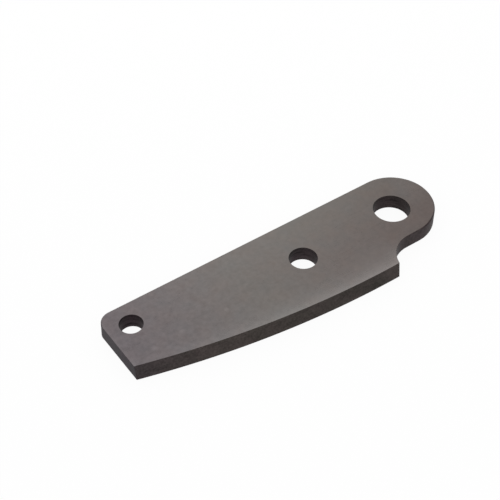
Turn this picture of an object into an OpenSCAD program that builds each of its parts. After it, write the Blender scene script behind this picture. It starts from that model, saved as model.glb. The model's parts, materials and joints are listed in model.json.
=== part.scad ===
// Bowed shear blade for a hand lever shear: one plate of hardened tool steel with a straight back,
// a round nose on a narrow neck, a bowed cutting edge with a relieved flank, and three bolt holes.
// The origin lies on the pivot hole's axis, in the flat shear face on the underside.
// +X runs along the back edge towards the nose, +Y towards the back edge, +Z away from the shear face.

/* [Plate] */
// Thickness of the plate
thickness = 8; // [5:0.5:12]
// Distance from the pivot hole's axis to the straight back edge
back_edge_y = 21.25; // [19:0.25:26]
// Distance from the pivot hole's axis to the square tail end
tail_reach = 153.3; // [135:0.1:175]
// Radius of the corner between the tail end and the back edge
tail_corner_r = 6.5; // [1:0.5:9]

/* [Nose] */
// Radius of the round nose, which is half the width of the neck
nose_r = 20; // [17:0.5:23]
// Distance of the nose's centre ahead of the pivot hole's axis
nose_ahead = 2.3; // [0:0.1:6]

/* [Cutting edge] */
// Radius of the bow of the cutting edge, in the shear face
edge_r = 465; // [350:5:800]
// Distance from the pivot hole's axis down to the lowest point of the bow
edge_drop = 31.5; // [27:0.25:38]
// Distance of that lowest point behind the pivot hole's axis
edge_low_back = 24; // [10:1:50]
// Angle by which the ground flank leans back from the cutting edge, in degrees
relief_angle = 9; // [1:0.5:15]

/* [Heel notch] */
// Radius of the hollow corner between the neck and the heel of the cutting edge
notch_r = 15; // [8:0.5:19]
// Distance behind the pivot hole's axis at which the hollow corner leaves the neck
notch_back = 5.5; // [1:0.5:12]

/* [Bolt holes] */
// Bore of the pivot hole
pivot_d = 18; // [13:0.5:22]
// Bore of the middle hole
middle_d = 13.5; // [9:0.5:18]
// Distance of the middle hole behind the pivot hole's axis
middle_back = 55; // [40:0.5:90]
// Distance of the middle hole below the pivot hole's axis
middle_drop = 2; // [0:0.5:8]
// Bore of the tail hole
tail_d = 11; // [6:0.5:13]
// Distance of the tail hole's axis from the tail end
tail_inset = 11.5; // [9:0.1:20]
// Distance of the tail hole's axis below the back edge
tail_below_back = 11.75; // [9:0.05:16]
// Width of the chamfer that breaks the edge at each hole's mouth
mouth_break = 0.1; // [0.1:0.1:1]

/* [Hidden] */
$fa = 0.5;
$fs = 0.3;
steel_grey = [0.46, 0.44, 0.43];

// Material that is cut or ground away runs this far past the plate
overrun = 2;

neck_y = back_edge_y - 2 * nose_r;
nose_centre = [nose_ahead, back_edge_y - nose_r];
notch_centre = [-notch_back, neck_y - notch_r];
heel_x = -notch_back - notch_r;
edge_centre = [-edge_low_back, edge_r - edge_drop];
blank_low_y = min(-edge_drop, notch_centre.y) - overrun;
tail_corner_centre = [tail_corner_r - tail_reach, back_edge_y - tail_corner_r];

// Each bolt hole as the place of its axis and its bore
bolt_holes = [
    [[0, 0], pivot_d],
    [[-middle_back, -middle_drop], middle_d],
    [[tail_inset - tail_reach, back_edge_y - tail_below_back], tail_d],
];

// What is cut away below the neck, from the hollow corner at the heel to the nose
module heel_notch() {
    cut_low_y = blank_low_y - overrun;
    translate([-notch_back, cut_low_y])
        square([notch_back + nose_ahead + overrun, neck_y - cut_low_y]);
    translate(notch_centre)
        circle(r = notch_r);
    translate([heel_x, cut_low_y])
        square([notch_r + overrun, notch_centre.y - cut_low_y]);
}

// What is cut away outside the round corner at the tail
module tail_corner_cut() {
    difference() {
        translate([-tail_reach - overrun, tail_corner_centre.y])
            square(tail_corner_r + overrun);
        translate(tail_corner_centre)
            circle(r = tail_corner_r);
    }
}

// Outline of the blank before its cutting edge is ground
module blank_outline() {
    difference() {
        translate([-tail_reach, blank_low_y])
            square([tail_reach + nose_ahead, back_edge_y - blank_low_y]);
        heel_notch();
        tail_corner_cut();
    }
    translate(nose_centre)
        circle(r = nose_r);
}

// The cone whose surface is the relieved flank: it narrows upwards from the cutting edge
module flank_cone() {
    lean = tan(relief_angle);
    translate([edge_centre.x, edge_centre.y, -overrun])
        cylinder(
            h = thickness + 2 * overrun,
            r1 = edge_r + overrun * lean,
            r2 = edge_r - (thickness + overrun) * lean
        );
}

// A drilled hole with both mouths broken by a small chamfer
module bolt_hole(bore_d) {
    bore_r = bore_d / 2;
    mouth_r = bore_r + mouth_break + overrun;
    rotate_extrude()
        polygon([
            [0, -overrun],
            [mouth_r, -overrun],
            [bore_r, mouth_break],
            [bore_r, thickness - mouth_break],
            [mouth_r, thickness + overrun],
            [0, thickness + overrun],
        ]);
}

module blade() {
    color(steel_grey)
        difference() {
            intersection() {
                linear_extrude(thickness)
                    blank_outline();
                flank_cone();
            }
            for (hole = bolt_holes)
                translate(hole[0])
                    bolt_hole(hole[1]);
        }
}

blade();
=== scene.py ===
"""Looks of a bowed shear blade: one plate of hardened tool steel, ground on its faces and dark on its walls.

The blade's shape follows one rule: an edge section is swept along the outline and round each bolt hole,
and two flat faces close it. Lengths are in metres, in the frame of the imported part. Places and patterns in
the finishes are in millimetres from the pivot hole.
"""
import json
from math import atan2, ceil, cos, pi, radians, sin, sqrt, tan

import bpy
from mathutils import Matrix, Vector


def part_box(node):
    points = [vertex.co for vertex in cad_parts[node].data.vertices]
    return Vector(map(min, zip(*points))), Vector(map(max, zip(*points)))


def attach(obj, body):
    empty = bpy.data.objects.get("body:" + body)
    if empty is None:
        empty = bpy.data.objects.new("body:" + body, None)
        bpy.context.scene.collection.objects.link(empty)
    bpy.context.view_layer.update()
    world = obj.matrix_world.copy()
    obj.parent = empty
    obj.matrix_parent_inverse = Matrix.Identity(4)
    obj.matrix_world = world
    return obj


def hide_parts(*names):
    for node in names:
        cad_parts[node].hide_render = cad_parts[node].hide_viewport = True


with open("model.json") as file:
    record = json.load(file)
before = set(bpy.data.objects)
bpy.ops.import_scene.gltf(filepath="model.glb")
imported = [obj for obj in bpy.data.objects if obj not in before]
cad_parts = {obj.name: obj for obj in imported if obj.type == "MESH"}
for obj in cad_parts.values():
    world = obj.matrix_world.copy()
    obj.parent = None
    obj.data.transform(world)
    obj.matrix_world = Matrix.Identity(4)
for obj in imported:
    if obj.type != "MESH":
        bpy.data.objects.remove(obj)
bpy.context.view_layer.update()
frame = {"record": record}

MM = 0.001

# Outline of the blade
blade_low, blade_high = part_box("blade")
THICKNESS = blade_high.z - blade_low.z
TAIL_X = blade_low.x
BACK_Y = blade_high.y
TAIL_CORNER_R = 6.5 * MM
CORNER_FOOT_R = 5.7 * MM
NOSE_R = 20 * MM
NOSE_AHEAD = 2.3 * MM
NOTCH_R = 15 * MM
NOTCH_BACK = 5.5 * MM
EDGE_R = 465 * MM
EDGE_DROP = 31.5 * MM
EDGE_LOW_BACK = 24 * MM
RELIEF = tan(radians(9))
BOLT_HOLES = [mount for mount in frame["record"]["mounts"] if mount["kind"] == "bore"]

NECK_Y = BACK_Y - 2 * NOSE_R
NOSE_CENTRE = Vector((NOSE_AHEAD, BACK_Y - NOSE_R))
NOTCH_CENTRE = Vector((-NOTCH_BACK, NECK_Y - NOTCH_R))
EDGE_CENTRE = Vector((-EDGE_LOW_BACK, EDGE_R - EDGE_DROP))
TAIL_CORNER_CENTRE = Vector((TAIL_X + TAIL_CORNER_R, BACK_Y - TAIL_CORNER_R))
CORNER_FOOT_CENTRE = Vector((TAIL_X + CORNER_FOOT_R, BACK_Y - CORNER_FOOT_R))

# Rounded rim of the seat face, with the share of its full size that each stretch is worn to
SEAT_BREAK = 0.8 * MM
FINE_SHARE = 0.06
FLANK_SHARE = 0.24
NOTCH_SHARES = (0.1, 0.3)
NOSE_SHARES = (0.55, 1.15)
CORNER_SHARE = 0.5

# Angles round the nose and the tail corner at which that wear is most or runs out
NOSE_MOST_WORN = radians(-65)
NOSE_WEAR_END = radians(15)
CORNER_MOST_WORN = radians(168)

# Other broken edges, and the flat strip that joins each rim to its face
SHEAR_BREAK = 0.05 * MM
MOUTH_BREAK = 0.1 * MM
TIP_BREAK = 0.35 * MM
RIM_WIDTH = 0.05 * MM

# Fineness of the mesh, with the depths of wall and rim counted in breaks
ARC_STEP = 0.7 * MM
BREAK_STEPS = 4
MOUTH_STEPS = 1
HOLE_STEPS = 96
WALL_FROM = 2.0
RIM_DEPTH = 3.0
WELD = 0.001 * MM
FLAT_FROM = 0.9

# Kinds of wall along the swept sections
PROFILE_WALL, FLANK_WALL, BORE_WALL = 0, 1, 2


# Nodes
def add_node(tree, kind, inputs=None, **settings):
    """A new node with its properties set, and its inputs linked or given a value."""
    made = tree.nodes.new(kind)
    for name, value in settings.items():
        setattr(made, name, value)
    for name, value in (inputs or {}).items():
        if isinstance(value, bpy.types.NodeSocket):
            tree.links.new(value, made.inputs[name])
        else:
            made.inputs[name].default_value = value
    return made


def calc(tree, operation, *values):
    """A sum worked out on numbers."""
    return add_node(tree, "ShaderNodeMath", dict(enumerate(values)), operation=operation).outputs[0]


def vector_calc(tree, operation, *values):
    """A sum worked out on vectors."""
    made = add_node(tree, "ShaderNodeVectorMath", dict(enumerate(values)), operation=operation)
    return made.outputs["Value" if operation == "DISTANCE" else "Vector"]


def scaled(tree, vector, factor):
    """A vector or a tint times a number."""
    return add_node(tree, "ShaderNodeVectorMath", {0: vector, "Scale": factor}, operation="SCALE").outputs[0]


# The outline, as points with the kind of wall and its lean at each
def arc(centre, radius, start, end):
    """Points along an arc from one angle to another, both ends included."""
    count = ceil(abs(end - start) * radius / ARC_STEP)
    angles = [start + (end - start) * k / count for k in range(count + 1)]
    return [centre + radius * Vector((cos(angle), sin(angle))) for angle in angles]


def angle_at(centre, point):
    """The angle at which a point lies about a centre."""
    return atan2(point.y - centre.y, point.x - centre.x)


def tail_tip(height):
    """Where the flank meets the tail end, at a height above the shear face."""
    radius = EDGE_R - height * RELIEF
    return Vector((TAIL_X, EDGE_CENTRE.y - sqrt(radius**2 - (TAIL_X - EDGE_CENTRE.x)**2)))


def heel_tip(height):
    """Where the flank meets the hollow of the notch, at a height above the shear face."""
    radius = EDGE_R - height * RELIEF
    across = NOTCH_CENTRE - EDGE_CENTRE
    along = (radius**2 - NOTCH_R**2 + across.length**2) / (2 * across.length)
    aside = sqrt(radius**2 - along**2)
    unit = across.normalized()
    return EDGE_CENTRE + along * unit + aside * Vector((unit.y, -unit.x))


def flank_lean(point):
    """How the ground flank leans in as it rises from the cutting edge."""
    return RELIEF * (EDGE_CENTRE - point).normalized()


def corner_lean(point):
    """How the tail corner leans in as it rises, from its tighter foot to its seat rim."""
    outward = (point - CORNER_FOOT_CENTRE).normalized()
    return (TAIL_CORNER_CENTRE + TAIL_CORNER_R * outward - point) / THICKNESS


def upright(point):
    """No lean: the wall stands square on the shear face."""
    return Vector((0.0, 0.0))


def outline():
    """The loop round the shear face, anticlockwise: rows of place, wall, lean, tip radius and rim share."""
    loop = []

    def run(points, wall, shares, lean=upright):
        first, last = shares
        for step, point in enumerate(points):
            share = first + (last - first) * step / (len(points) - 1)
            loop.append((point, wall, lean(point), 0.0, share))

    def tip(corner, share):
        lean = (corner(THICKNESS) - corner(0)) / THICKNESS
        loop.append((corner(0), PROFILE_WALL, lean, TIP_BREAK, share))

    flank_start = angle_at(EDGE_CENTRE, tail_tip(0))
    flank_end = angle_at(EDGE_CENTRE, heel_tip(0))
    flank = arc(EDGE_CENTRE, EDGE_R, flank_start, flank_end)
    notch = arc(NOTCH_CENTRE, NOTCH_R, angle_at(NOTCH_CENTRE, heel_tip(THICKNESS)), pi / 2)
    nose_low = arc(NOSE_CENTRE, NOSE_R, -pi / 2, NOSE_MOST_WORN)
    nose_front = arc(NOSE_CENTRE, NOSE_R, NOSE_MOST_WORN, NOSE_WEAR_END)
    nose_back = arc(NOSE_CENTRE, NOSE_R, NOSE_WEAR_END, pi / 2)
    corner_back = arc(CORNER_FOOT_CENTRE, CORNER_FOOT_R, pi / 2, CORNER_MOST_WORN)
    corner_tail = arc(CORNER_FOOT_CENTRE, CORNER_FOOT_R, CORNER_MOST_WORN, pi)

    tip(tail_tip, FINE_SHARE)
    run(flank[1:-1], FLANK_WALL, (FLANK_SHARE, FLANK_SHARE), flank_lean)
    tip(heel_tip, FLANK_SHARE)
    run(notch[1:], PROFILE_WALL, NOTCH_SHARES)
    run(nose_low[:-1], PROFILE_WALL, NOSE_SHARES)
    run(nose_front[:-1], PROFILE_WALL, (NOSE_SHARES[1], FINE_SHARE))
    run(nose_back, PROFILE_WALL, (FINE_SHARE, FINE_SHARE))
    run(corner_back[:-1], PROFILE_WALL, (FINE_SHARE, CORNER_SHARE), corner_lean)
    run(corner_tail, PROFILE_WALL, (CORNER_SHARE, FINE_SHARE), corner_lean)
    return loop


def guide_object():
    """A mesh of the outline's loop and the holes' centres, with what the sweep needs as attributes."""
    loop = outline()
    places, walls, leans, tip_radii, rim_shares = zip(*loop)
    centres = [Vector(hole["pos_m"]).xy for hole in BOLT_HOLES]
    bores = [hole["dims"]["r_mm"] * MM for hole in BOLT_HOLES]
    no_lean = Vector((0.0, 0.0))
    columns = {
        "wall_kind": ("INT", "value", [*walls, *(BORE_WALL for _ in bores)]),
        "tip_radius": ("FLOAT", "value", [*tip_radii, *(0.0 for _ in bores)]),
        "rim_share": ("FLOAT", "value", [*rim_shares, *(1.0 for _ in bores)]),
        "bore_radius": ("FLOAT", "value", [*(0.0 for _ in loop), *bores]),
        "lean": ("FLOAT_VECTOR", "vector",
                 [part for lean in (*leans, *(no_lean for _ in bores)) for part in (*lean, 0.0)]),
    }
    edges = [(k, (k + 1) % len(loop)) for k in range(len(loop))]
    mesh = bpy.data.meshes.new("ground_blade")
    mesh.from_pydata([(*place, 0.0) for place in (*places, *centres)], edges, [])
    for name, (kind, field, values) in columns.items():
        mesh.attributes.new(name, kind, "POINT").data.foreach_set(field, values)
    guide = bpy.data.objects.new("ground_blade", mesh)
    bpy.context.scene.collection.objects.link(guide)
    return guide, [*columns, "foot_place"]


# The blade, grown from its outline
def named(tree, name, kind):
    """A value that the guide gives to each of its points."""
    own = add_node(tree, "GeometryNodeInputNamedAttribute", {"Name": name}, data_type=kind)
    return own.outputs["Attribute"]


def is_number(tree, value, number):
    """Whether a whole number is a given one."""
    same = add_node(tree, "FunctionNodeCompare", {2: value, 3: number}, data_type="INT", operation="EQUAL")
    return same.outputs[0]


def is_more(tree, value, limit):
    """Whether a length or level is past a limit."""
    more = add_node(tree, "FunctionNodeCompare", {"A": value, "B": limit}, operation="GREATER_THAN")
    return more.outputs[0]


def place_here(tree):
    """The place of each point."""
    return add_node(tree, "GeometryNodeInputPosition").outputs[0]


def height_here(tree):
    """The height of each point above the shear face."""
    return add_node(tree, "ShaderNodeSeparateXYZ", {0: place_here(tree)}).outputs["Z"]


def by_index(tree, kind, choices):
    """A value that each point of a line takes by its own number."""
    switch = add_node(tree, "GeometryNodeIndexSwitch", data_type=kind)
    while len(switch.index_switch_items) < len(choices):
        switch.index_switch_items.new()
    tree.links.new(add_node(tree, "GeometryNodeInputIndex").outputs[0], switch.inputs["Index"])
    for slot, choice in enumerate(choices):
        if choice is not None:
            tree.links.new(choice, switch.inputs[str(slot)])
    return switch.outputs[0]


def edge_section(tree, sizes, seat_break, shear_break, steps):
    """The swept section: out over the seat face's rim, down the wall and in over the shear face's rim."""
    seat_rim = calc(tree, "MULTIPLY", calc(tree, "ADD", seat_break, sizes["Rim width"]), -1.0)
    shear_rim = calc(tree, "MULTIPLY", calc(tree, "ADD", shear_break, sizes["Rim width"]), -1.0)
    top = calc(tree, "MULTIPLY", sizes["Thickness"], -1.0)
    wall_top = calc(tree, "MULTIPLY_ADD", seat_break, WALL_FROM, top)
    wall_foot = calc(tree, "MULTIPLY", shear_break, -WALL_FROM)
    corners = [
        ({"X": seat_rim, "Y": top}, None),
        ({"Y": top}, seat_break),
        ({"Y": wall_top}, None),
        ({"Y": wall_foot}, None),
        ({}, shear_break),
        ({"X": shear_rim}, None),
    ]
    places = [add_node(tree, "ShaderNodeCombineXYZ", place).outputs[0] for place, _ in corners]
    radii = [radius for _, radius in corners]
    line = add_node(tree, "GeometryNodeMeshLine", {"Count": len(corners)})
    bent = add_node(
        tree, "GeometryNodeSetPosition",
        {"Geometry": line.outputs[0], "Position": by_index(tree, "VECTOR", places)})
    section = add_node(tree, "GeometryNodeMeshToCurve", {"Mesh": bent.outputs[0]}).outputs[0]
    return rounded(tree, section, steps, by_index(tree, "FLOAT", radii))


def rounded(tree, line, steps, radius):
    """A line with its corners rounded in a few steps, or cut off in one."""
    made = add_node(
        tree, "GeometryNodeFilletCurve",
        {"Curve": line, "Count": steps, "Radius": radius, "Limit Radius": True}, mode="POLY")
    return made.outputs[0]


def swept_wall(tree, path, section):
    """A section carried along a path, kept upright."""
    standing = add_node(tree, "GeometryNodeSetCurveNormal", {"Curve": path}, mode="Z_UP").outputs[0]
    wall = add_node(tree, "GeometryNodeCurveToMesh", {"Curve": standing, "Profile Curve": section})
    return wall.outputs[0]


def eased_rim(tree, walls, sizes):
    """Draws the seat rim's break towards the sharp corner, to each place's share of its full size."""
    rise = add_node(tree, "ShaderNodeCombineXYZ", {"Z": sizes["Thickness"]}).outputs[0]
    corner = vector_calc(tree, "ADD", named(tree, "foot_place", "FLOAT_VECTOR"), rise)
    away = vector_calc(tree, "SUBTRACT", place_here(tree), corner)
    drawn = vector_calc(tree, "ADD", corner, scaled(tree, away, named(tree, "rim_share", "FLOAT")))
    rim_foot = calc(tree, "MULTIPLY_ADD", sizes["Seat break"], -RIM_DEPTH, sizes["Thickness"])
    on_rim = is_more(tree, height_here(tree), rim_foot)
    eased = add_node(
        tree, "GeometryNodeSetPosition", {"Geometry": walls, "Selection": on_rim, "Position": drawn})
    return eased.outputs[0]


def profile_walls(tree, guide, sizes):
    """The wall round the outline, with the two tips rounded a little and the flank leaning in."""
    path = add_node(tree, "GeometryNodeMeshToCurve", {"Mesh": guide}).outputs[0]
    path = rounded(tree, path, BREAK_STEPS, named(tree, "tip_radius", "FLOAT"))
    path = add_node(
        tree, "GeometryNodeStoreNamedAttribute",
        {"Geometry": path, "Name": "foot_place", "Value": place_here(tree)}, data_type="FLOAT_VECTOR")
    section = edge_section(tree, sizes, sizes["Seat break"], sizes["Shear break"], BREAK_STEPS)
    square = swept_wall(tree, path.outputs[0], section)
    eased = eased_rim(tree, square, sizes)
    shift = scaled(tree, named(tree, "lean", "FLOAT_VECTOR"), height_here(tree))
    return add_node(tree, "GeometryNodeSetPosition", {"Geometry": eased, "Offset": shift}).outputs[0]


def bore_walls(tree, guide, sizes):
    """One ring at each hole's centre, drilled through, with its mouths broken."""
    radius = named(tree, "bore_radius", "FLOAT")
    centres = add_node(
        tree, "GeometryNodeMeshToPoints", {"Mesh": guide, "Selection": is_more(tree, radius, 0.0)})
    ring = add_node(tree, "GeometryNodeCurvePrimitiveCircle", {"Resolution": HOLE_STEPS, "Radius": 1.0})
    rings = add_node(
        tree, "GeometryNodeInstanceOnPoints",
        {"Points": centres.outputs[0], "Instance": ring.outputs[0], "Scale": radius})
    rings = add_node(tree, "GeometryNodeRealizeInstances", {"Geometry": rings.outputs[0]})
    rings = add_node(tree, "GeometryNodeReverseCurve", {"Curve": rings.outputs[0]})
    section = edge_section(tree, sizes, sizes["Mouth break"], sizes["Mouth break"], MOUTH_STEPS)
    return swept_wall(tree, rings.outputs[0], section)


def flat_face(tree, walls, rim, height):
    """The flat face inside one rim of the walls, with the holes left open."""
    loops = add_node(tree, "GeometryNodeMeshToCurve", {"Mesh": walls, "Selection": rim})
    face = add_node(tree, "GeometryNodeFillCurve", {"Curve": loops.outputs[0]}, mode="TRIANGLES")
    lift = add_node(tree, "ShaderNodeCombineXYZ", {"Z": height})
    raised = add_node(
        tree, "GeometryNodeTransform", {"Geometry": face.outputs[0], "Translation": lift.outputs[0]})
    return shaded(tree, raised.outputs[0], False)


def shaded(tree, geometry, smooth):
    """Faces shaded smooth, as on a curved wall, or flat."""
    made = add_node(tree, "GeometryNodeSetShadeSmooth", {"Geometry": geometry, "Shade Smooth": smooth})
    return made.outputs[0]


def with_finish(tree, geometry, selection, finish):
    """Geometry with a finish on its selected faces."""
    made = add_node(
        tree, "GeometryNodeSetMaterial",
        {"Geometry": geometry, "Selection": selection, "Material": finish})
    return made.outputs[0]


def joined(tree, *pieces):
    """Pieces of geometry put together as one."""
    made = add_node(tree, "GeometryNodeJoinGeometry")
    for piece in pieces:
        tree.links.new(piece, made.inputs[0])
    return made.outputs[0]


def rims(tree, thickness):
    """The open edges of the walls, round the seat face and round the shear face."""
    faces_beside = add_node(tree, "GeometryNodeInputMeshEdgeNeighbors").outputs[0]
    is_open = is_number(tree, faces_beside, 1)
    above = is_more(tree, height_here(tree), calc(tree, "MULTIPLY", thickness, 0.5))
    below = add_node(tree, "FunctionNodeBooleanMath", {0: above}, operation="NOT").outputs[0]
    return [add_node(tree, "FunctionNodeBooleanMath", {0: is_open, 1: side}, operation="AND").outputs[0]
            for side in (above, below)]


def blade_tree(finishes, sizes):
    """Geometry nodes that build the blade from its outline and hole centres."""
    tree = bpy.data.node_groups.new("blade_from_outline", "GeometryNodeTree")
    tree.interface.new_socket("Guide", in_out="INPUT", socket_type="NodeSocketGeometry")
    for name in sizes:
        tree.interface.new_socket(name, in_out="INPUT", socket_type="NodeSocketFloat")
    tree.interface.new_socket("Blade", in_out="OUTPUT", socket_type="NodeSocketGeometry")
    given = add_node(tree, "NodeGroupInput").outputs

    profile = profile_walls(tree, given["Guide"], given)
    bores = bore_walls(tree, given["Guide"], given)
    walls = shaded(tree, joined(tree, profile, bores), True)
    kind = named(tree, "wall_kind", "INT")
    for wall in (PROFILE_WALL, FLANK_WALL, BORE_WALL):
        walls = with_finish(tree, walls, is_number(tree, kind, wall), finishes[wall])

    seat_rim, shear_rim = rims(tree, given["Thickness"])
    seat_face = flat_face(tree, walls, seat_rim, given["Thickness"])
    shear_face = flat_face(tree, walls, shear_rim, 0.0)
    shear_face = add_node(tree, "GeometryNodeFlipFaces", {"Mesh": shear_face}).outputs[0]

    closed = joined(tree, walls, seat_face, shear_face)
    welded = add_node(tree, "GeometryNodeMergeByDistance", {"Geometry": closed, "Distance": WELD})
    whole = add_node(tree, "GeometryNodeRealizeInstances", {"Geometry": welded.outputs[0]}).outputs[0]
    normal = add_node(tree, "GeometryNodeInputNormal").outputs[0]
    upward = add_node(tree, "ShaderNodeSeparateXYZ", {0: normal}).outputs["Z"]
    is_flat = is_more(tree, calc(tree, "ABSOLUTE", upward), FLAT_FROM)
    finished = with_finish(tree, whole, is_flat, finishes["face"])
    add_node(tree, "NodeGroupOutput", {"Blade": finished})
    return tree


def make_blade(finishes):
    """Grows the blade from its guide and leaves it as a plain mesh."""
    sizes = {
        "Thickness": THICKNESS,
        "Seat break": SEAT_BREAK,
        "Shear break": SHEAR_BREAK,
        "Mouth break": MOUTH_BREAK,
        "Rim width": RIM_WIDTH,
    }
    guide, helpers = guide_object()
    tree = blade_tree(finishes, sizes)
    grow = guide.modifiers.new("grow", "NODES")
    grow.node_group = tree
    for item in tree.interface.items_tree:
        if item.name in sizes:
            grow[item.identifier] = sizes[item.name]
    seen = guide.evaluated_get(bpy.context.evaluated_depsgraph_get())
    mesh = bpy.data.meshes.new_from_object(seen)
    for name in helpers:
        if name in mesh.attributes:
            mesh.attributes.remove(mesh.attributes[name])
    guide.modifiers.clear()
    guide.data = mesh
    return guide


# Tints of the steel, in rows of place along X and colour there
# Painted shade: the seat face's tint darkens towards the nose, where the light falls off
FACE_TINTS_AND_SHADE = [(-153.0, (0.124, 0.108, 0.113)),
              (-85.0, (0.119, 0.109, 0.1025)),
              (22.0, (0.1165, 0.098, 0.0915))]
# Painted shade: the profile wall's tint is darker at the tail end, which catches more light
WALL_TINTS_AND_SHADE = [(-153.0, (0.048, 0.0395, 0.045)),
              (-20.0, (0.0535, 0.0415, 0.0425))]
FLANK_TINTS = [(-153.0, (0.054, 0.0435, 0.046)),
               (-120.0, (0.0575, 0.0485, 0.0445)),
               (-20.0, (0.0565, 0.0475, 0.044))]
# Painted shade: the bores' tints are darker than the walls', as the shade inside the holes
BORE_SHADED_TINTS = [(-142.0, (0.035, 0.0255, 0.029)),
              (-55.0, (0.041, 0.032, 0.0345)),
              (0.0, (0.0395, 0.0315, 0.0315))]
POLISHED_TINT = (0.122, 0.121, 0.121)
DARK_GRAZING = (0.75, 0.75, 0.75, 1.0)

# Drift of the tints from place to place, and towards the back edge of the neck
TEMPER_SIZE = (9.0, 9.0, 9.0)
FACE_TEMPER = (0.005, -0.002, -0.005)
DARK_TEMPER = (0.002, -0.002, 0.001)
BACK_DRIFT = (-0.0045, 0.0005, -0.0005)
BACK_DRIFT_ACROSS = (-12.0, -0.5), (21.0, 1.0)
BACK_DRIFT_ALONG = (-75.0, 0.0), (-45.0, 1.0)

# Polish of the face, with ramps as two pairs of place and level
POLISH_FADE = 5.0
POLISH_ALONG = (-150.0, 0.12), (-28.0, 0.78)
POLISH_HEEL = (-17.0, 1.0), (-4.0, 0.0)
TAIL_RUB = (-153.3, 0.12), (-150.3, 0.0)

# Rubbed places on the face, in rows of middle, polish there and reach
FACE_RUBS = [((-17.5, -25.0, 0.0), 0.08, 9.0), ((18.0, 6.0, 0.0), 0.13, 15.0)]

# Scuffs on the seat face, in rows of X, Y and reach, and how ragged they are
SCUFFS = [(-102.1, -7.8, 1.7), (-125.6, -6.8, 2.2), (-140.2, -8.6, 2.4)]
SCUFF_NOISE = {"Scale": 0.9, "Detail": 3.0}
SCUFF_RAGGED = 2.4
NOISE_MIDDLE = (0.5, 0.5, 0.5)

# Sizes of the marks in each layer along X, Y and Z, and how fine their noise is
CLOUD_SIZE = (38.0, 24.0, 24.0)
HANDLING_SIZE = (2.2, 2.2, 2.2)
HANDLING_ALONG = (-150.0, 1.0), (-40.0, 0.5)
LINE_SIZE = (60.0, 0.4, 0.4)
BLOTCH_SIZE = (9.0, 9.0, 6.0)
SCALE_SIZE = (1.0, 1.0, 1.0)
SOFT_DETAIL = 2.0
FINE_DETAIL = 3.0
SCALE_DETAIL = 4.0

# What each layer of the ground face adds to its brightness, roughness and height
FACE_LIGHT = {"clouds": 0.08, "handling": 0.28, "lines": 0.07, "scuffs": 0.25}
FACE_ROUGHNESS = {"clouds": 0.05, "handling": 0.06, "lines": 0.06, "polish": -0.05, "scuffs": 0.05}
FACE_HEIGHT = {"lines": 0.5, "handling": 0.2}
FACE_ROUGH = 0.31
FACE_DEPTH = 0.006

# What each layer of the dark walls adds to their roughness and height
DARK_ROUGHNESS = {"blotches": 0.08, "scale": 0.1}
DARK_HEIGHT = {"cuts": 0.5, "scale": 0.3}
DARK_ROUGH = 0.5
DARK_DEPTH = 0.01

# The dark finishes, as name, tints, size of the cutter's marks, and what each layer adds to brightness
DARK_FINISHES = {
    # Painted shade: the profile wall's tints darken its tail end
    PROFILE_WALL: ("dark_wall", WALL_TINTS_AND_SHADE, (1.0, 1.0, 3.0), {"blotches": 0.4, "scale": 0.9, "cuts": 0.3}),
    FLANK_WALL: ("dark_flank", FLANK_TINTS, (4.0, 4.0, 1.0), {"blotches": 0.4, "scale": 0.7, "cuts": 0.3}),
    # Painted shade: the bores are darker than the other walls, for the shade inside the holes
    BORE_WALL: ("dark_bore", BORE_SHADED_TINTS, (9.0, 9.0, 0.8), {"blotches": 0.4, "scale": 0.7, "cuts": 1.1}),
}


# Finishes
def steel(name):
    """A bare steel material, with its tree and shader."""
    material = bpy.data.materials.new(name)
    material.use_nodes = True
    tree = material.node_tree
    shader = tree.nodes["Principled BSDF"]
    shader.inputs["Metallic"].default_value = 1.0
    return material, tree, shader


def place_on_blade(tree):
    """The place on the blade in millimetres, as a vector and as its X, Y and Z."""
    own = add_node(tree, "ShaderNodeTexCoord").outputs["Object"]
    place = scaled(tree, own, 1 / MM)
    return place, add_node(tree, "ShaderNodeSeparateXYZ", {0: place}).outputs


def grain(tree, place, size, detail=SOFT_DETAIL):
    """Noise about zero, with marks of a size in millimetres along X, Y and Z."""
    spread = vector_calc(tree, "DIVIDE", place, size)
    noise = add_node(tree, "ShaderNodeTexNoise", {"Vector": spread, "Scale": 1.0, "Detail": detail})
    return calc(tree, "MULTIPLY_ADD", noise.outputs["Fac"], 2.0, -1.0)


def ramp(tree, value, start, end, style="LINEAR"):
    """A level carried from one (place, level) to another and held past both."""
    limits = {"Value": value, "From Min": start[0], "From Max": end[0], "To Min": start[1], "To Max": end[1]}
    return add_node(tree, "ShaderNodeMapRange", limits, interpolation_type=style, clamp=True).outputs[0]


def spot(tree, place, middle, most, reach):
    """A level that is most at a place and fades out round it."""
    away = vector_calc(tree, "DISTANCE", place, middle)
    return ramp(tree, away, (0.0, most), (reach, 0.0), "SMOOTHSTEP")


def layered(tree, start, layers, shares):
    """A level with some of a finish's layers added, each by its share."""
    level = start
    for name, share in shares.items():
        level = calc(tree, "MULTIPLY_ADD", layers[name], share, level)
    return level


def tints_along(tree, along, stops):
    """Tints that change along the blade's length."""
    first, last = stops[0][0], stops[-1][0]
    band = add_node(tree, "ShaderNodeValToRGB", {"Fac": ramp(tree, along, (first, 0.0), (last, 1.0))})
    marks = band.color_ramp.elements
    while len(marks) < len(stops):
        marks.new(0.5)
    for mark, (place, tint) in zip(marks, stops):
        mark.position = (place - first) / (last - first)
        mark.color = (*tint, 1.0)
    return band.outputs["Color"]


def with_tint(tree, colour, tint, amount):
    """A colour with some of a tint added."""
    return vector_calc(tree, "ADD", colour, scaled(tree, tint, amount))


def tempered(tree, place, colour, drift):
    """A colour that drifts a little from place to place, as hardening tints the steel."""
    return with_tint(tree, colour, drift, grain(tree, place, TEMPER_SIZE))


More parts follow.
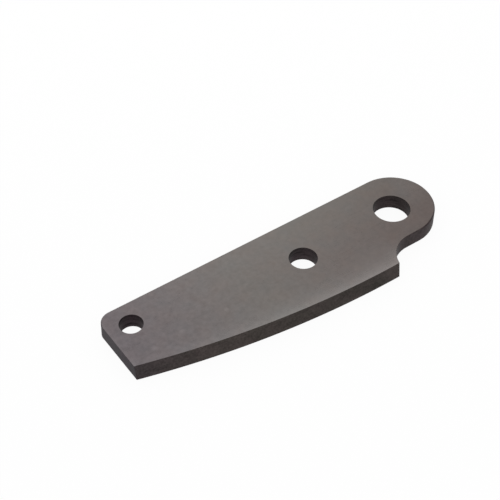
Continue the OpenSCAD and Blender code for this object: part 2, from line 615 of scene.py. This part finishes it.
def dress(tree, shader, colour, roughness, height, depth):
    """Sets a steel's colour and roughness, and its relief from a height and a depth in millimetres."""
    tree.links.new(colour, shader.inputs["Base Color"])
    tree.links.new(roughness, shader.inputs["Roughness"])
    bump = add_node(tree, "ShaderNodeBump", {"Strength": 1.0, "Distance": depth * MM, "Height": height})
    tree.links.new(bump.outputs[0], shader.inputs["Normal"])


def polish_at(tree, place, xyz):
    """How far the ground steel is polished: most at the cutting edge by the heel, fading to the tail."""
    flat = vector_calc(tree, "MULTIPLY", place, (1.0, 1.0, 0.0))
    reach = vector_calc(tree, "DISTANCE", flat, (EDGE_CENTRE.x / MM, EDGE_CENTRE.y / MM, 0.0))
    edge_radius = calc(tree, "MULTIPLY_ADD", xyz["Z"], -RELIEF, EDGE_R / MM)
    inside = calc(tree, "SUBTRACT", edge_radius, reach)
    fade = calc(tree, "EXPONENT", calc(tree, "MULTIPLY", inside, -1 / POLISH_FADE))
    along = calc(
        tree, "MULTIPLY", ramp(tree, xyz["X"], *POLISH_ALONG), ramp(tree, xyz["X"], *POLISH_HEEL))
    rubbed = ramp(tree, xyz["X"], *TAIL_RUB)
    for middle, most, width in FACE_RUBS:
        rubbed = calc(tree, "ADD", rubbed, spot(tree, flat, middle, most, width))
    return calc(tree, "MULTIPLY_ADD", fade, along, rubbed)


def scuffs_at(tree, place):
    """Small rubbed spots on the seat face, ragged at their rims."""
    stain = add_node(tree, "ShaderNodeTexNoise", {"Vector": place, **SCUFF_NOISE}).outputs["Color"]
    ragged = scaled(tree, vector_calc(tree, "SUBTRACT", stain, NOISE_MIDDLE), SCUFF_RAGGED)
    moved = vector_calc(tree, "ADD", place, ragged)
    level = 0.0
    for x, y, width in SCUFFS:
        level = calc(tree, "ADD", level, spot(tree, moved, (x, y, THICKNESS / MM), 1.0, width))
    return level


def ground_face():
    """Ground steel: fine lines along the blade, faint clouds, a polished cutting margin and a few scuffs."""
    material, tree, shader = steel("ground_face")
    place, xyz = place_on_blade(tree)
    smudges = grain(tree, place, HANDLING_SIZE, FINE_DETAIL)
    layers = {
        "clouds": grain(tree, place, CLOUD_SIZE),
        "handling": calc(tree, "MULTIPLY", smudges, ramp(tree, xyz["X"], *HANDLING_ALONG)),
        "lines": grain(tree, place, LINE_SIZE, FINE_DETAIL),
        "polish": polish_at(tree, place, xyz),
        "scuffs": scuffs_at(tree, place),
    }
    # Painted shade: this tint darkens towards the nose
    tint = tints_along(tree, xyz["X"], FACE_TINTS_AND_SHADE)
    satin = scaled(tree, tint, layered(tree, 1.0, layers, FACE_LIGHT))
    satin = tempered(tree, place, satin, FACE_TEMPER)
    polished = with_tint(tree, satin, POLISHED_TINT, layers["polish"])
    at_back = calc(
        tree, "MULTIPLY", ramp(tree, xyz["Y"], *BACK_DRIFT_ACROSS), ramp(tree, xyz["X"], *BACK_DRIFT_ALONG))
    colour = with_tint(tree, polished, BACK_DRIFT, at_back)
    roughness = layered(tree, FACE_ROUGH, layers, FACE_ROUGHNESS)
    height = layered(tree, 0.0, layers, FACE_HEIGHT)
    dress(tree, shader, colour, roughness, height, FACE_DEPTH)
    return material


def dark_finish(name, tints, cut_size, light):
    """Hardened steel left dark, with blotches, fine scale and the cutter's marks."""
    material, tree, shader = steel(name)
    shader.inputs["Specular Tint"].default_value = DARK_GRAZING
    place, xyz = place_on_blade(tree)
    layers = {
        "blotches": grain(tree, place, BLOTCH_SIZE),
        "scale": grain(tree, place, SCALE_SIZE, SCALE_DETAIL),
        "cuts": grain(tree, place, cut_size, FINE_DETAIL),
    }
    # The tints carry painted shade in the bores and at the tail end of the profile wall
    dark = scaled(tree, tints_along(tree, xyz["X"], tints), layered(tree, 1.0, layers, light))
    colour = tempered(tree, place, dark, DARK_TEMPER)
    roughness = layered(tree, DARK_ROUGH, layers, DARK_ROUGHNESS)
    height = layered(tree, 0.0, layers, DARK_HEIGHT)
    dress(tree, shader, colour, roughness, height, DARK_DEPTH)
    return material


# Stage
FLOOR_REACH = 3.0
FLOOR_DROP = 0.02 * MM
FLOOR_PALE = (0.9, 0.9, 0.9, 1.0)
FLOOR_WHITE_SHARE = 0.94
SKY_LIGHT = 0.95
WHITE = (1.0, 1.0, 1.0, 1.0)


def toward_white(tree, plain, white, share):
    """Mixes in plain white for what the camera sees, directly or in metal or glass."""
    rays = add_node(tree, "ShaderNodeLightPath").outputs
    seen = calc(tree, "MAXIMUM", rays["Is Camera Ray"], rays["Is Glossy Ray"])
    seen = calc(tree, "MAXIMUM", seen, rays["Is Transmission Ray"])
    amount = calc(tree, "MULTIPLY", seen, share)
    return add_node(tree, "ShaderNodeMixShader", {0: amount, 1: plain, 2: white}).outputs[0]


def make_floor():
    """Pale floor under the blade that shows nearly white and keeps its shadow."""
    corners = [(-FLOOR_REACH, -FLOOR_REACH), (FLOOR_REACH, -FLOOR_REACH),
               (FLOOR_REACH, FLOOR_REACH), (-FLOOR_REACH, FLOOR_REACH)]
    mesh = bpy.data.meshes.new("floor")
    mesh.from_pydata([(x, y, -FLOOR_DROP) for x, y in corners], [], [(0, 1, 2, 3)])
    floor = bpy.data.objects.new("floor", mesh)
    bpy.context.scene.collection.objects.link(floor)
    material = bpy.data.materials.new("pale_floor")
    material.use_nodes = True
    tree = material.node_tree
    tree.nodes.clear()
    matt = add_node(tree, "ShaderNodeBsdfDiffuse", {"Color": FLOOR_PALE})
    white = add_node(tree, "ShaderNodeEmission", {"Color": WHITE, "Strength": 1.0})
    mixed = toward_white(tree, matt.outputs[0], white.outputs[0], FLOOR_WHITE_SHARE)
    add_node(tree, "ShaderNodeOutputMaterial", {"Surface": mixed})
    mesh.materials.append(material)


def make_world():
    """Even white surroundings, a little dimmer as light than as background."""
    world = bpy.data.worlds.new("studio")
    bpy.context.scene.world = world
    world.use_nodes = True
    tree = world.node_tree
    tree.nodes.clear()
    dim = add_node(tree, "ShaderNodeBackground", {"Color": WHITE, "Strength": SKY_LIGHT})
    white = add_node(tree, "ShaderNodeBackground", {"Color": WHITE, "Strength": 1.0})
    mixed = toward_white(tree, dim.outputs[0], white.outputs[0], 1.0)
    add_node(tree, "ShaderNodeOutputWorld", {"Surface": mixed})


# Camera and softbox, from the photograph's perspective
LOOK_AT = Vector((-67.85, 22.93, 0.0)) * MM
VIEW_AZIMUTH = radians(-35.083)
VIEW_ELEVATION = radians(45.930)
VIEW_DISTANCE = 598.7 * MM
LENS_MM = 90.11
SENSOR_MM = 36.0
VIEW_BACK = Vector((
    sin(VIEW_AZIMUTH) * cos(VIEW_ELEVATION),
    -cos(VIEW_AZIMUTH) * cos(VIEW_ELEVATION),
    sin(VIEW_ELEVATION)))
CAMERA_PLACE = LOOK_AT + VIEW_DISTANCE * VIEW_BACK

GLOW_PLACE = Vector((-40.0, 130.0, 8.0)) * MM
SOFTBOX_DISTANCE = 0.46
SOFTBOX_SIZE = 0.4
SOFTBOX_POWER = 0.4
UP = Vector((0.0, 0.0, 1.0))


def aim(thing, place, target):
    """Stands a thing at a place, facing a target."""
    thing.location = place
    thing.rotation_euler = (target - place).to_track_quat("-Z", "Y").to_euler()


def make_camera():
    """The camera at the photograph's viewing angle."""
    camera = bpy.data.objects.new("camera", bpy.data.cameras.new("camera"))
    camera.data.sensor_width = SENSOR_MM
    camera.data.lens = LENS_MM
    bpy.context.scene.collection.objects.link(camera)
    aim(camera, CAMERA_PLACE, LOOK_AT)
    bpy.context.scene.camera = camera


def make_softbox():
    """A soft lamp that the seat face mirrors towards the camera at the glow's place."""
    lamp = bpy.data.lights.new("softbox", "AREA")
    lamp.shape = "DISK"
    lamp.size = SOFTBOX_SIZE
    lamp.energy = SOFTBOX_POWER
    softbox = bpy.data.objects.new("softbox", lamp)
    bpy.context.scene.collection.objects.link(softbox)
    mirrored = (GLOW_PLACE - CAMERA_PLACE).reflect(UP).normalized()
    aim(softbox, GLOW_PLACE + SOFTBOX_DISTANCE * mirrored, GLOW_PLACE)


finishes = {wall: dark_finish(*looks) for wall, looks in DARK_FINISHES.items()}
finishes["face"] = ground_face()
blade = make_blade(finishes)
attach(blade, "root")
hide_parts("blade")

make_floor()
make_world()
make_softbox()
make_camera()

bpy.context.scene.view_settings.view_transform = "Standard"
